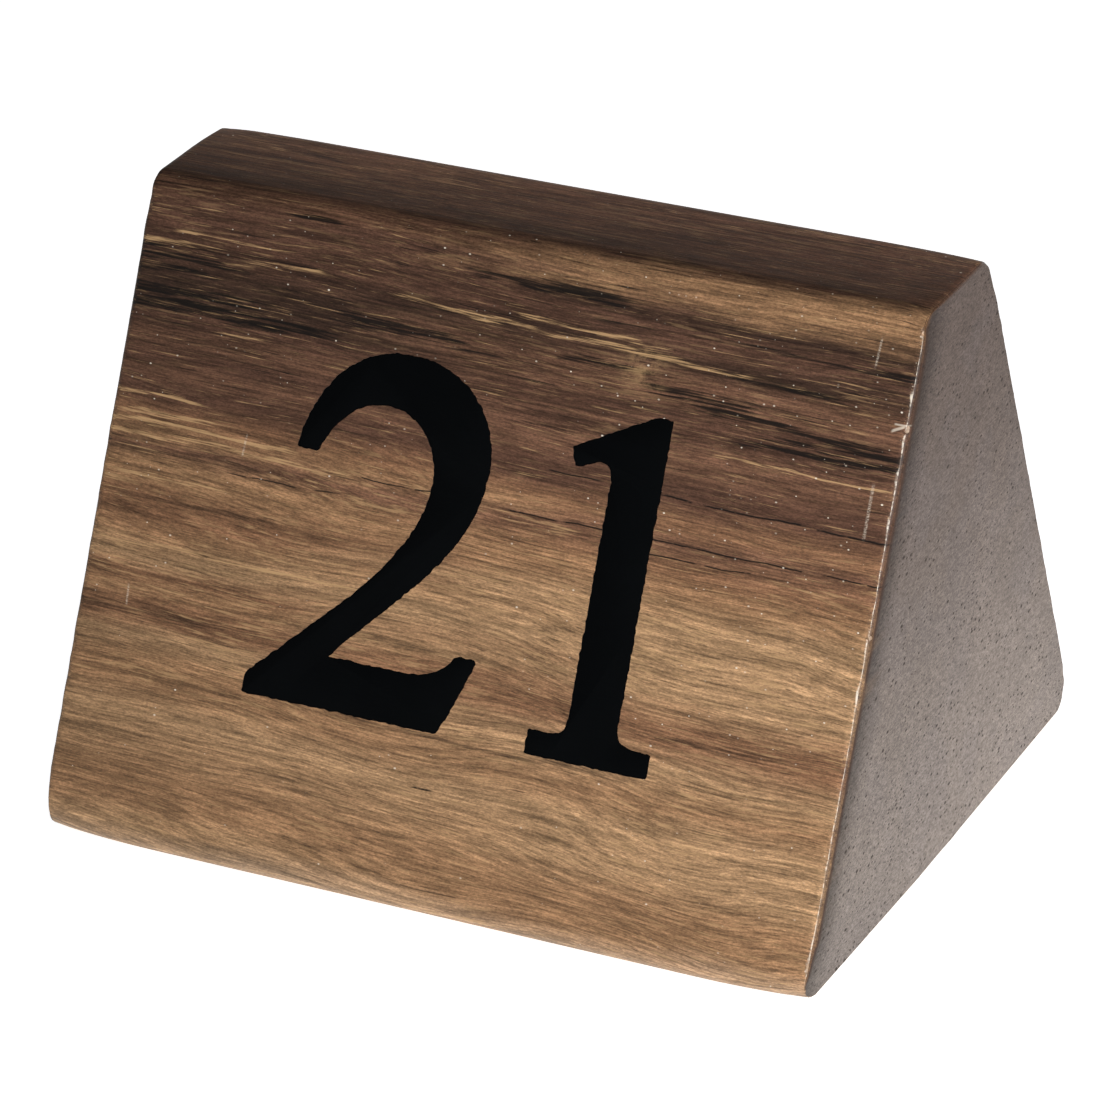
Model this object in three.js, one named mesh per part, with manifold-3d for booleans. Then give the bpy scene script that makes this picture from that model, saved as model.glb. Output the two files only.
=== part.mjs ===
// Free-standing table number block, millimetres, +Z up.
//
// A solid hardwood block stands on its wide face. Its section is a symmetrical trapezoid, so
// each of the two long faces leans back and shows the number to one side of the table. Each
// numeral is a shallow pocket cut in the sloping face and filled with black paint.
//
// Origin: middle of the base, on the surface that the block stands on.
// +X runs along the block, -Y is the front. The back is the front turned half round about Z.

import * as THREE from 'three';
import { mergeVertices } from 'three/addons/utils/BufferGeometryUtils.js';
import Module from 'manifold-3d';

// Block. The depths are measured to the sharp corners, before the long edges are rounded.
const BLOCK_LENGTH = 75;
const BLOCK_HEIGHT = 55.5;
const BASE_DEPTH = 65;
const TOP_DEPTH = 14;
const TOP_EDGE_RADIUS = 3.5;
const BASE_EDGE_RADIUS = 2.2;
const END_ARRIS = 0.5;
const ARRIS_STEPS = 2;
const ROUND_STEPS = 5;

// Numerals, placed on a sloping face: across from the middle, and up from its lower corner.
const BASELINE_UP = 17.1;
const TWO_LEFT = -19.9;
const ONE_LEFT = 7.35;
const POCKET_DEPTH = 0.6;
const PAINT_CLEARANCE = 0.06;
const PAINT_SET_BACK = 0.04;
const CURVE_STEPS = 12;
const WELD_DISTANCE = 1e-5;

const SLOPE_RUN = (BASE_DEPTH - TOP_DEPTH) / 2;
const SLOPE_ANGLE = Math.atan2(BLOCK_HEIGHT, SLOPE_RUN);

const wasm = await Module();
wasm.setup();

// Finishes: lacquered hardwood and satin black paint.
function woodMaterial() {
  return new THREE.MeshStandardMaterial({ color: 0x7d5a3f, roughness: 0.55, metalness: 0 });
}

function paintMaterial() {
  return new THREE.MeshStandardMaterial({ color: 0x0a0b0b, roughness: 0.5, metalness: 0 });
}

// Closed geometry to solid, and back.
function toSolid(geometry) {
  const bare = geometry.clone();
  bare.deleteAttribute('normal');
  bare.deleteAttribute('uv');
  const merged = mergeVertices(bare, WELD_DISTANCE);
  return new wasm.Manifold(new wasm.Mesh({
    numProp: 3,
    vertProperties: new Float32Array(merged.attributes.position.array),
    triVerts: new Uint32Array(merged.index.array),
  }));
}

function toGeometry(solid) {
  const mesh = solid.getMesh();
  const geometry = new THREE.BufferGeometry();
  geometry.setAttribute('position', new THREE.BufferAttribute(mesh.vertProperties, mesh.numProp));
  geometry.setIndex(new THREE.BufferAttribute(mesh.triVerts, 1));
  geometry.computeVertexNormals();
  return geometry;
}

// Section of the block, anticlockwise: across is Y and up is Z. Each corner is an arc that
// touches the side before it and the side after it.
function blockSection() {
  const corners = [
    { at: new THREE.Vector2(-BASE_DEPTH / 2, 0), radius: BASE_EDGE_RADIUS },
    { at: new THREE.Vector2(BASE_DEPTH / 2, 0), radius: BASE_EDGE_RADIUS },
    { at: new THREE.Vector2(TOP_DEPTH / 2, BLOCK_HEIGHT), radius: TOP_EDGE_RADIUS },
    { at: new THREE.Vector2(-TOP_DEPTH / 2, BLOCK_HEIGHT), radius: TOP_EDGE_RADIUS },
  ];
  const section = new THREE.Shape();
  corners.forEach(({ at, radius }, index) => {
    const previous = corners.at(index - 1).at;
    const next = corners[(index + 1) % corners.length].at;
    const back = previous.clone().sub(at).normalize();
    const onward = next.clone().sub(at).normalize();
    const halfAngle = Math.acos(back.dot(onward)) / 2;
    const inward = back.clone().add(onward).setLength(radius / Math.sin(halfAngle));
    const centre = inward.add(at);
    const start = Math.atan2(back.x, -back.y);
    const sweep = Math.PI - 2 * halfAngle;
    section.absarc(centre.x, centre.y, radius, start, start + sweep, false);
  });
  section.closePath();
  return section;
}

// The block before its numerals are cut, lying along X with a small chamfer round each end.
function blockBlank() {
  const straight = BLOCK_LENGTH - 2 * END_ARRIS;
  const geometry = new THREE.ExtrudeGeometry(blockSection(), {
    depth: straight,
    curveSegments: ROUND_STEPS,
    bevelEnabled: true,
    bevelThickness: END_ARRIS,
    bevelSize: END_ARRIS,
    bevelOffset: -END_ARRIS,
    bevelSegments: ARRIS_STEPS,
  });
  const sectionToBlock = new THREE.Matrix4().makeBasis(
    new THREE.Vector3(0, 1, 0),
    new THREE.Vector3(0, 0, 1),
    new THREE.Vector3(1, 0, 0),
  );
  return geometry.translate(0, 0, -straight / 2).applyMatrix4(sectionToBlock);
}

// Draws a line towards a corner and turns it, with a curve that starts and ends the same
// distance from the corner.
function roundCorner(shape, from, corner, to, cut) {
  const start = corner.clone().lerp(from, cut / corner.distanceTo(from));
  const end = corner.clone().lerp(to, cut / corner.distanceTo(to));
  shape.lineTo(start.x, start.y);
  shape.quadraticCurveTo(corner.x, corner.y, end.x, end.y);
}

// Outlines of the numerals, each from its own left side and baseline.
function outlineTwo() {
  const heel = new THREE.Vector2(0, 1.8);
  const footLeft = new THREE.Vector2(0, 0);
  const footRight = new THREE.Vector2(19.2, 0);
  const spurBase = new THREE.Vector2(20.3, 2.2);
  const spurTip = new THREE.Vector2(21.9, 7.1);
  const spurInner = new THREE.Vector2(19.9, 7.1);
  const spurThroat = new THREE.Vector2(19.2, 6.1);
  const bowlLeft = new THREE.Vector2(1.25, 22.8);
  const tailLeft = new THREE.Vector2(1.1, 22.35);
  const tailRight = new THREE.Vector2(3.35, 22.35);
  const tailThroat = new THREE.Vector2(3.6, 23);
  const diagonal = new THREE.Vector2(7.9, 9.4);
  const footTop = 4.7;

  const shape = new THREE.Shape();
  shape.moveTo(heel.x, heel.y / 2);
  roundCorner(shape, heel, footLeft, footRight, 0.35);
  roundCorner(shape, footLeft, footRight, spurBase, 0.3);
  shape.quadraticCurveTo(20.6, 2.8, 21.78, 6.6);
  shape.quadraticCurveTo(spurTip.x, spurTip.y, 21.3, spurTip.y);
  roundCorner(shape, spurTip, spurInner, spurThroat, 0.35);
  shape.bezierCurveTo(18.9, 5.8, 18.1, footTop, 15, footTop);
  shape.lineTo(7.75, footTop);
  shape.bezierCurveTo(12.4, 10.3, 20, 15.6, 20, 23.4);
  shape.bezierCurveTo(20, 28.5, 16, 32.25, 10.8, 32.25);
  shape.bezierCurveTo(5.4, 32.25, 2.1, 28.4, bowlLeft.x, bowlLeft.y);
  roundCorner(shape, bowlLeft, tailLeft, tailRight, 0.3);
  roundCorner(shape, tailLeft, tailRight, tailThroat, 0.3);
  shape.bezierCurveTo(4.7, 26, 6.9, 27.42, 9.4, 27.42);
  shape.bezierCurveTo(12.3, 27.42, 14.75, 24.8, 14.75, 21.6);
  shape.bezierCurveTo(14.75, 17.2, 11.6, 13.2, diagonal.x, diagonal.y);
  roundCorner(shape, diagonal, heel, footLeft, 0.3);
  shape.closePath();
  return shape;
}

function outlineOne() {
  const serifTop = 2.25;
  const stemLeft = 4.08;
  const stemRight = 8.83;
  const leftFoot = new THREE.Vector2(0.5, 0);
  const rightFoot = new THREE.Vector2(12.25, 0);
  const rightShoulder = new THREE.Vector2(rightFoot.x, serifTop);
  const leftShoulder = new THREE.Vector2(leftFoot.x, serifTop);
  const leftFillet = new THREE.Vector2(2.4, serifTop);
  const stemFoot = new THREE.Vector2(stemRight, 4.1);
  const stemTop = new THREE.Vector2(8.9, 30.95);
  const flagTip = new THREE.Vector2(0, 27.1);
  const flagHeel = new THREE.Vector2(0.6, 25.35);
  const flagThroat = new THREE.Vector2(1.4, 25.55);

  const shape = new THREE.Shape();
  shape.moveTo(leftFoot.x, serifTop / 2);
  roundCorner(shape, leftShoulder, leftFoot, rightFoot, 0.2);
  roundCorner(shape, leftFoot, rightFoot, rightShoulder, 0.2);
  roundCorner(shape, rightFoot, rightShoulder, leftShoulder, 0.3);
  shape.lineTo(11, serifTop);
  shape.bezierCurveTo(9.3, 2.4, stemRight, 2.8, stemFoot.x, stemFoot.y);
  roundCorner(shape, stemFoot, stemTop, flagTip, 0.3);
  shape.quadraticCurveTo(7.7, 31.05, 6.9, 30.68);
  roundCorner(shape, stemTop, flagTip, flagHeel, 0.12);
  roundCorner(shape, flagTip, flagHeel, flagThroat, 0.25);
  shape.bezierCurveTo(1.8, 25.75, 2.3, 26.15, 3.1, 26.15);
  shape.bezierCurveTo(3.8, 26.15, stemLeft, 25.5, stemLeft, 24.1);
  shape.lineTo(stemLeft, 4);
  shape.bezierCurveTo(stemLeft, 2.9, 3.7, serifTop, leftFillet.x, leftFillet.y);
  roundCorner(shape, leftFillet, leftShoulder, leftFoot, 0.2);
  shape.closePath();
  return shape;
}

// A numeral as a slab between two heights, its outline grown by a margin, or shrunk by a
// negative one.
function numeralSlab(outline, low, high, margin) {
  const geometry = new THREE.ExtrudeGeometry(outline, {
    depth: high - low,
    curveSegments: CURVE_STEPS,
    bevelEnabled: true,
    bevelThickness: 0,
    bevelSize: 0,
    bevelOffset: margin,
    bevelSegments: 0,
  });
  return geometry.translate(0, 0, low);
}

function paintFill(outline) {
  const pocketFloor = PAINT_CLEARANCE - POCKET_DEPTH;
  return numeralSlab(outline, pocketFloor, -PAINT_SET_BACK, -PAINT_CLEARANCE);
}

function pocketCutter(outline) {
  return numeralSlab(outline, -POCKET_DEPTH, POCKET_DEPTH, 0);
}

const numerals = [
  { name: 'numeral_two', outline: outlineTwo(), left: TWO_LEFT },
  { name: 'numeral_one', outline: outlineOne(), left: ONE_LEFT },
];
const sides = [
  { suffix: 'front', turn: 0 },
  { suffix: 'back', turn: Math.PI },
];

const group = new THREE.Group();
let blockSolid = toSolid(blockBlank());

for (const { suffix, turn } of sides) {
  // The sloping face: local X across, local Y up the slope, local Z out of the wood.
  const side = new THREE.Group();
  side.rotation.z = turn;
  group.add(side);
  const face = new THREE.Group();
  face.position.y = -BASE_DEPTH / 2;
  face.rotation.x = SLOPE_ANGLE;
  side.add(face);

  for (const { name, outline, left } of numerals) {
    const numeral = new THREE.Mesh(paintFill(outline), paintMaterial());
    numeral.name = `${name}_${suffix}`;
    numeral.position.set(left, BASELINE_UP, 0);
    face.add(numeral);
    numeral.updateWorldMatrix(true, false);
    const cutter = pocketCutter(outline).applyMatrix4(numeral.matrixWorld);
    blockSolid = blockSolid.subtract(toSolid(cutter));
  }
}

const woodBlock = new THREE.Mesh(toGeometry(blockSolid), woodMaterial());
woodBlock.name = 'wood_block';
group.add(woodBlock);

export default group;
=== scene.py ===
"""A wooden table number block: one solid piece of hardwood with its numerals filled in black.

Run as a script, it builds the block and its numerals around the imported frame, in metres, with
the block standing on z = 0, its grain along X and its front towards -Y.
"""

import math

import bmesh
import bpy
from mathutils import Matrix, Vector, noise


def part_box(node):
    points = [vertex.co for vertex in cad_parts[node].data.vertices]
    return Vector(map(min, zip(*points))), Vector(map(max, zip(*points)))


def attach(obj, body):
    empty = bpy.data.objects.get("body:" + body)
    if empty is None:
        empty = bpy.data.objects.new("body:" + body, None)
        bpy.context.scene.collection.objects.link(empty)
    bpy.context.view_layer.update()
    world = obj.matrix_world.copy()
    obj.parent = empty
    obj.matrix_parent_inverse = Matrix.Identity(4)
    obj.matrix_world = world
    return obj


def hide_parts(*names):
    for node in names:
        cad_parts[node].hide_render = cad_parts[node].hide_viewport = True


bl_info = {
    "name": "Table number block",
    "version": (1, 0, 0),
    "blender": (4, 5, 0),
    "location": "View3D > Sidebar > Table number",
    "description": "A hardwood table number block with its numerals filled in black",
    "category": "Add Mesh",
}

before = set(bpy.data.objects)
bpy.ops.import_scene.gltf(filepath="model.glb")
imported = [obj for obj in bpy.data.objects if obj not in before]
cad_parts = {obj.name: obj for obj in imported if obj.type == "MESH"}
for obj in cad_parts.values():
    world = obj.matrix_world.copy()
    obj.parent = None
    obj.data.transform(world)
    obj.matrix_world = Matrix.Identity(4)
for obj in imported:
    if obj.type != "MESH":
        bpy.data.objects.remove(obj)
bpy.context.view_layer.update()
BLOCK_LOW, BLOCK_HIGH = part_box("wood_block")

MM = 0.001
BODY = "root"

# Seed of the numerals' ragged edges. Without one, the noise starts from the clock.
RAGGED_SEED = 1

NUMERALS = {
    "numeral_two_front": "paint_two_front",
    "numeral_one_front": "paint_one_front",
    "numeral_two_back": "paint_two_back",
    "numeral_one_back": "paint_one_back",
}


# ---- sizes and colours


def length(name, description, default):
    """A length that a user can change."""
    return bpy.props.FloatProperty(
        name=name, description=description, default=default, precision=5,
        subtype="DISTANCE", unit="LENGTH",
    )


def number(name, description, default):
    """A plain number that a user can change."""
    return bpy.props.FloatProperty(name=name, description=description, default=default)


def degrees(name, description, default):
    """An angle that a user can change, given here in degrees."""
    return bpy.props.FloatProperty(
        name=name, description=description, default=math.radians(default),
        precision=4, subtype="ANGLE", unit="ROTATION",
    )


def linear(level):
    """One channel of a screen colour, 0 to 255, as linear light."""
    share = level / 255
    if share <= 0.04045:
        return share / 12.92
    return ((share + 0.055) / 1.055) ** 2.4


def colour(name, description, red, green, blue):
    """A colour that a user can change, given here as a screen colour."""
    return bpy.props.FloatVectorProperty(
        name=name, description=description, size=3, min=0, max=1, subtype="COLOR",
        default=(linear(red), linear(green), linear(blue)),
    )


class BlockSizes(bpy.types.PropertyGroup):
    """The shape of the block. Its outer sizes are the frame's."""

    block_length: length("Length", "Along the grain", BLOCK_HIGH.x - BLOCK_LOW.x)
    block_height: length("Height", "From the table to the top", BLOCK_HIGH.z)
    base_depth: length("Base depth", "Front to back at the base, to the sharp corners", 65 * MM)
    outer_depth: length(
        "Depth", "Front to back over the rounded base edges", BLOCK_HIGH.y - BLOCK_LOW.y
    )
    top_depth: length("Top depth", "Front to back at the top, to the sharp corners", 14 * MM)
    top_front_radius: length("Top front radius", "Rounding of this long edge", 2.4 * MM)
    top_back_radius: length("Top back radius", "Rounding of this long edge", 2.8 * MM)
    arris: length("End arris", "Rounding of the edges round each end", 0.5 * MM)
    base_front_drop: length("Base front drop", "Sanding of this edge at its ends", 0.6 * MM)
    base_back_drop: length("Base back drop", "Sanding of this edge at its ends", 0.3 * MM)
    top_front_drop: length("Top front drop", "Sanding of this edge at its ends", 0.02 * MM)
    top_back_drop: length("Top back drop", "Sanding of this edge at its ends", 0.18 * MM)
    sanding_reach: length("Sanding reach", "How far in from the ends the edges fall away", 11 * MM)
    edge_reach: length("Edge reach", "How far from a long edge the sanding spreads", 7 * MM)
    corner_drop: length("Corner drop", "Extra sanding of the most worn corners", 0.5 * MM)
    corner_reach: length("Corner reach", "How far from a corner that sanding spreads", 3.8 * MM)
    slice_height: length("Slice height", "Spacing of the cuts that carry the edge wear", 0.5 * MM)
    wear_depth: length("Wear depth", "Deepest wear of the end arrises", 0.09 * MM)
    wear_size: length("Wear size", "Size of the worn spots along an arris", 1.6 * MM)


class NumeralSizes(bpy.types.PropertyGroup):
    """How the numerals are cut and filled."""

    pocket_depth: length("Pocket depth", "Depth of the cut behind the paint", 0.5 * MM)
    set_back: length("Set back", "How far the dry paint lies below the wood", 0.03 * MM)
    clearance: length("Clearance", "Margin between the framed numeral and its cut", 0.06 * MM)
    outline_step: length("Outline step", "Longest straight stretch of an outline", 0.25 * MM)
    ragged: length("Ragged edge", "How far the outline strays along the fibres", 0.11 * MM)
    ragged_size: length("Ragged size", "Spacing of the strays", 0.45 * MM)
    rim: length("Rim", "Rounding of the paint where it meets the wood", 0.05 * MM)


class Finishes(bpy.types.PropertyGroup):
    """Colours of the wood and the paint."""

    # Painted reflection: base_reflection is a paler, greyer tone standing in for the floor
    # reflected in the rounded base edge.
    base_reflection: colour("Ash", "Greyish long grain along the base edge", 150, 126, 102)
    honey: colour("Honey", "Palest long grain", 148, 117, 86)
    tan: colour("Tan", "Pale long grain", 132, 100, 72)
    umber: colour("Umber", "Middle long grain", 116, 84, 61)
    chestnut: colour("Chestnut", "Reddish middle grain", 96, 68, 52)
    walnut: colour("Walnut", "Dark heartwood", 78, 54, 42)
    dusk: colour("Dusk", "Darkest heartwood band", 56, 39, 30)
    streak: colour("Streak", "Near-black streaks in the heartwood", 14, 11, 9)
    gold: colour("Gold", "Golden streaks and flecks", 176, 142, 102)
    end_pale: colour("End grain, base", "Matt end grain near the base", 134, 124, 117)
    end_dark: colour("End grain, top", "Matt end grain in the heartwood", 94, 82, 76)
    end_cool: colour("End grain, cool", "Cooler patches of the end grain", 112, 106, 108)
    pore: colour("Pore", "Open pores in the end grain", 40, 32, 28)
    # The dust colour also paints the pale highlight line along the end arrises.
    dust: colour("Dust", "Specks caught in the lacquer, and scratches", 226, 214, 196)
    fresh: colour("Fresh wood", "Wood bared by a nick", 158, 134, 112)
    scorched: colour("Pocket wall", "Wood behind the paint", 30, 22, 17)
    paint: colour("Paint", "Black of the numerals", 4, 5, 6)
    floor: colour("Floor", "Plain pale floor", 238, 238, 238)


class StageSettings(bpy.types.PropertyGroup):
    """The camera and the studio light."""

    azimuth: degrees("Azimuth", "Turn of the camera from the front to the right", 25.35)
    elevation: degrees("Elevation", "Rise of the camera above the table", 25.97)
    roll: degrees("Roll", "Turn of the camera about its own view", -0.17)
    distance: length("Distance", "From the camera to the middle of the block", 520.5 * MM)
    aim_right: length("Aim right", "How far left of the middle the view is centred", 1.36 * MM)
    aim_up: length("Aim up", "How far below the middle the view is centred", 4.79 * MM)
    focal_length: number("Focal length", "Millimetres, for a sensor 36 mm wide", 188.95)
    floor_size: length("Floor size", "Side of the floor", 12.0)
    floor_glow: number("Floor glow", "How much light the floor gives off itself", 0.85)
    room_light: number("Room light", "Strength of the light from the dim room above", 0.15)
    horizon_light: number("Horizon light", "Strength of the pale wall round the table", 1.0)
    overhead_power: number("Overhead power", "Watts of the soft light above", 1.0)
    side_power: number("Side power", "Watts of the soft light on the right", 0.7)


# ---- selecting and modelling


def deselect_all():
    """Leaves edit mode and selects nothing."""
    if bpy.context.mode != "OBJECT":
        bpy.ops.object.mode_set(mode="OBJECT")
    bpy.ops.object.select_all(action="DESELECT")


def make_active(piece):
    """Selects one object and makes it the one that operators work on."""
    deselect_all()
    piece.select_set(True)
    bpy.context.view_layer.objects.active = piece


def pick(piece, kind, test):
    """In edit mode, selects just the vertices, edges or faces that pass a test."""
    bpy.ops.mesh.select_mode(type=kind)
    bpy.ops.mesh.select_all(action="DESELECT")
    mesh = bmesh.from_edit_mesh(piece.data)
    for part in {"VERT": mesh.verts, "EDGE": mesh.edges, "FACE": mesh.faces}[kind]:
        if test(part):
            part.select_set(True)
    mesh.select_flush_mode()
    bmesh.update_edit_mesh(piece.data)


def slice_mesh(point, normal):
    """In edit mode, cuts every face along a plane and keeps both sides."""
    bpy.ops.mesh.select_all(action="SELECT")
    bpy.ops.mesh.bisect(plane_co=point, plane_no=normal)


def apply_modifier(piece, kind, **settings):
    """Adds a modifier with these settings to a piece and applies it."""
    make_active(piece)
    modifier = piece.modifiers.new(kind.title(), kind)
    for name, value in settings.items():
        setattr(modifier, name, value)
    bpy.ops.object.modifier_apply(modifier=modifier.name)


def cut_with(piece, cutter):
    """Cuts one piece with another, which is then deleted."""
    apply_modifier(
        piece, "BOOLEAN", object=cutter, operation="DIFFERENCE", solver="EXACT",
        material_mode="TRANSFER",
    )
    make_active(cutter)
    bpy.ops.object.delete()


def smooth_step(share):
    """0 to 1, easing in and out, for a share from 0 to 1."""
    share = min(1.0, max(0.0, share))
    return share * share * (3 - 2 * share)


def weigh(piece, name, weight_at):
    """Makes a vertex group whose weights come from each vertex's place."""
    group = piece.vertex_groups.new(name=name)
    for vertex in piece.data.vertices:
        weight = weight_at(vertex.co)
        if weight > 0:
            group.add([vertex.index], weight, "REPLACE")


def smooth_by_angle(piece, angle):
    """Smooth shading, with edges sharper than an angle kept crisp."""
    make_active(piece)
    bpy.ops.object.shade_smooth_by_angle(angle=math.radians(angle))


def finish_piece(piece, name, node):
    """Names a piece, puts it under the body and hides the frame's part that it stands for."""
    piece.name = name
    piece.data.name = name
    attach(piece, BODY)
    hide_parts(node)


class Section:
    """The block's section: its sharp corners, slope and rounding, worked out from its sizes."""

    def __init__(self, sizes):
        self.height = sizes.block_height
        self.half_base = sizes.base_depth / 2
        self.half_top = sizes.top_depth / 2
        self.slope = math.atan2(self.height, self.half_base - self.half_top)
        # A bevel's round is an ellipse leaning with its corner. Its outermost point lies in
        # from the sharp corner by this share of the bevel's width.
        lean = math.cos(self.slope)
        share = 1 + lean - math.sqrt(1 + lean * lean)
        self.base_cut = (self.half_base - sizes.outer_depth / 2) / share
        self.top_front_cut = sizes.top_front_radius * math.tan(self.slope / 2)
        self.top_back_cut = sizes.top_back_radius * math.tan(self.slope / 2)

    def long_edges(self, sizes):
        """Each long edge's depth, height and end drop, and how worn its two corners are."""
        return [
            (-self.half_base, 0.0, sizes.base_front_drop, (0.9, 0.9)),
            (self.half_base, 0.0, sizes.base_back_drop, (0.6, 0.6)),
            (self.half_top, self.height, sizes.top_back_drop, (0.5, 0.15)),
            (-self.half_top, self.height, sizes.top_front_drop, (0.05, 1.2)),
        ]

    def face(self, side):
        """A sloping face's lower corner and outward normal: side -1 is the front, 1 the back."""
        point = Vector((0, side * self.half_base, 0))
        normal = Vector((0, side * math.sin(self.slope), math.cos(self.slope)))
        return point, normal

    def on_slope(self, side, across, up):
        """A point on a sloping face, in the block's own frame."""
        depth = side * (self.half_base - up * math.cos(self.slope))
        return Vector((across, depth, up * math.sin(self.slope)))


# ---- materials


def new_material(name):
    """A material and its empty tree."""
    material = bpy.data.materials.new(name)
    material.use_nodes = True
    material.node_tree.nodes.clear()
    return material, material.node_tree


def add(tree, kind, inputs=None, **settings):
    """Adds a node. Each input is a plain value or another node's output."""
    made = tree.nodes.new(kind)
    for name, value in settings.items():
        setattr(made, name, value)
    for key, value in (inputs or {}).items():
        if isinstance(value, bpy.types.NodeSocket):
            tree.links.new(value, made.inputs[key])
        else:
            made.inputs[key].default_value = value
    return made


def calc(tree, operation, *values):
    """A math node's result."""
    return add(tree, "ShaderNodeMath", dict(enumerate(values)), operation=operation).outputs[0]


def spread(tree, value, low, high, start=0.0, end=1.0):
    """Eases a value from start to end as it goes from low to high."""
    return add(
        tree, "ShaderNodeMapRange",
        {"Value": value, "From Min": low, "From Max": high, "To Min": start, "To Max": end},
        interpolation_type="SMOOTHSTEP",
    ).outputs[0]


def between(tree, value, low, high, fade):
    """1 where a value lies between two bounds, easing to 0 over a margin outside them."""
    rising = spread(tree, value, low - fade, low)
    falling = spread(tree, value, high, high + fade, 1.0, 0.0)
    return calc(tree, "MULTIPLY", rising, falling)


def times(tree, *values):
    """The product of several values."""
    product = values[0]
    for value in values[1:]:
        product = calc(tree, "MULTIPLY", product, value)
    return product


def plus(tree, *values):
    """The sum of several values."""
    total = values[0]
    for value in values[1:]:
        total = calc(tree, "ADD", total, value)
    return total


def swing(tree, value, reach):
    """A noise value turned into a signed offset of about plus or minus its reach."""
    return calc(tree, "MULTIPLY", calc(tree, "SUBTRACT", value, 0.5), reach * 4)


def mix_values(tree, share, first, second):
    """Mixes two plain values by a share."""
    return add(
        tree, "ShaderNodeMix", {0: share, 2: first, 3: second}, data_type="FLOAT"
    ).outputs[0]


def grey(tree, value):
    """A value as a grey colour, for multiplying."""
    return add(
        tree, "ShaderNodeCombineColor", {"Red": value, "Green": value, "Blue": value}
    ).outputs[0]


def blend(tree, share, first, second, mode="MIX"):
    """Mixes two colours by a share."""
    first, second = (
        value if isinstance(value, bpy.types.NodeSocket) else (*value, 1)
        for value in (first, second)
    )
    return add(
        tree, "ShaderNodeMix", {0: share, 6: first, 7: second}, data_type="RGBA", blend_type=mode
    ).outputs[2]


def shaded(tree, tone, *shares):
    """A colour multiplied by every one of these values."""
    return blend(tree, 1.0, tone, grey(tree, times(tree, *shares)), "MULTIPLY")


def bumped(tree, height, strength, depth):
    """The normal of a surface with this relief, for a depth in millimetres."""
    return add(
        tree, "ShaderNodeBump", {"Height": height, "Strength": strength, "Distance": depth * MM}
    ).outputs[0]


def close_tree(tree, inputs):
    """Ends a material's tree with a shader that has these inputs."""
    shader = add(tree, "ShaderNodeBsdfPrincipled", inputs)
    add(tree, "ShaderNodeOutputMaterial", {"Surface": shader.outputs[0]})


def ramp(tree, share, stops):
    """A colour ramp with (place, colour) stops."""
    made = add(tree, "ShaderNodeValToRGB", {"Fac": share})
    points = made.color_ramp.elements
    while len(points) < len(stops):
        points.new(1.0)
    for point, (place, tone) in zip(points, stops):
        point.position = place
        point.color = (*tone, 1)
    return made.outputs["Color"]


def place_in_mm(tree):
    """The place on the piece, in millimetres."""
    return add(
        tree, "ShaderNodeMapping",
        {"Vector": add(tree, "ShaderNodeTexCoord").outputs["Object"], "Scale": (1 / MM,) * 3},
    ).outputs[0]


def fibre(tree, place, run, width, seed, detail=2.0, roughness=0.55, rise=0.0):
    """Noise drawn out along the grain: run along it, width across it and rise up, if given."""
    mapped = add(
        tree, "ShaderNodeMapping",
        {"Vector": place, "Location": (seed, seed * 0.7, seed * 1.3),
         "Scale": (1 / run, 1 / width, 1 / (rise or width))},
    )
    made = add(
        tree, "ShaderNodeTexNoise",
        {"Vector": mapped.outputs[0], "Scale": 1.0, "Detail": detail, "Roughness": roughness},
    )
    return made.outputs[0]


def specks(tree, place, size, share):
    """Scattered dots of mixed sizes: a share of the cells of a grid each hold one."""
    mapped = add(
        tree, "ShaderNodeMapping", {"Vector": place, "Scale": (0.7 / size, 1 / size, 1 / size)}
    )
    cells = add(tree, "ShaderNodeTexVoronoi", {"Vector": mapped.outputs[0], "Scale": 1.0})
    drawn = add(tree, "ShaderNodeSeparateColor", {"Color": cells.outputs["Color"]})
    reach = plus(tree, calc(tree, "MULTIPLY", drawn.outputs[1], 0.13), 0.06)
    dot = spread(tree, calc(tree, "DIVIDE", cells.outputs["Distance"], reach), 1.0, 0.45)
    return times(tree, dot, calc(tree, "LESS_THAN", drawn.outputs[0], share), drawn.outputs[2])


def flowing_grain(tree, place, tilt, wave):
    """The place turned a little about Y and lifted in slow waves, so that the grain flows."""
    turned = add(
        tree, "ShaderNodeMapping", {"Vector": place, "Rotation": (0, math.radians(tilt), 0)}
    ).outputs[0]
    wave_shape = fibre(tree, place, 22, 9, 2.3, 0.6)
    lift = add(tree, "ShaderNodeCombineXYZ", {"Z": swing(tree, wave_shape, wave)}).outputs[0]
    return add(tree, "ShaderNodeVectorMath", {0: turned, 1: lift}, operation="ADD").outputs[0]


def lines(tree, along, height, rows):
    """The strongest of several soft lines: 1 on a line, 0 beyond its reach or its ends."""
    strongest = 0.0
    for middle, reach, start, end, tilt, fade in rows:
        centre = plus(tree, calc(tree, "MULTIPLY", along, tilt), middle)
        off = calc(tree, "ABSOLUTE", calc(tree, "SUBTRACT", height, centre))
        near = spread(tree, off, reach, reach * 0.3)
        drawn = times(tree, near, between(tree, along, start, end, fade))
        strongest = calc(tree, "MAXIMUM", drawn, strongest)
    return strongest
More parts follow.
